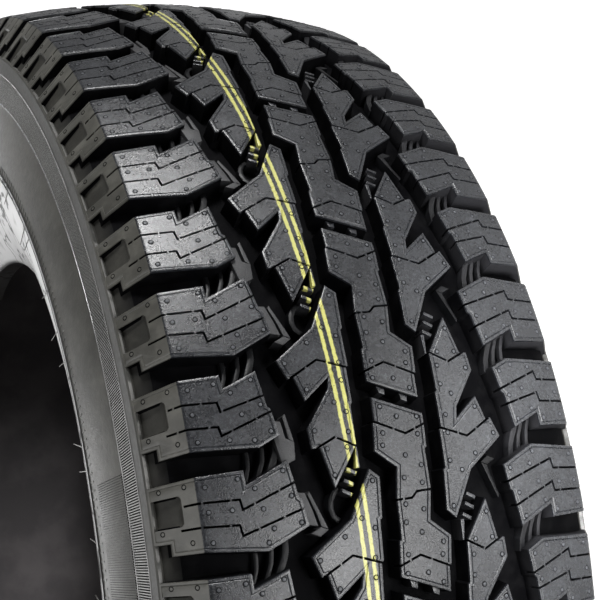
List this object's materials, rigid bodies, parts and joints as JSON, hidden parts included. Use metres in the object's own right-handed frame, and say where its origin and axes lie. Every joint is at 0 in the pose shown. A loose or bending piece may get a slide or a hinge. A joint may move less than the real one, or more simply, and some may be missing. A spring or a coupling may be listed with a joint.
{
  "type": "car tyre",
  "caption": "All-terrain car tyre: a moulded rubber ring with a blocky, lugged tread, plain sidewalls and two bead seats that grip a wheel rim.",
  "frame": {"origin": "middle of the tyre, on the axle and half way between the two sidewalls", "axes": "+Z along the axle, up out of the sidewall that the picture shows; the tyre lies on its other sidewall"},
  "size_m": [0.803, 0.803, 0.265],
  "materials": {
    "tyre_rubber": "satin black moulded rubber"
  },
  "bodies": {
    "root": {"tyre": "tyre_rubber"}
  },
  "joints": []
}
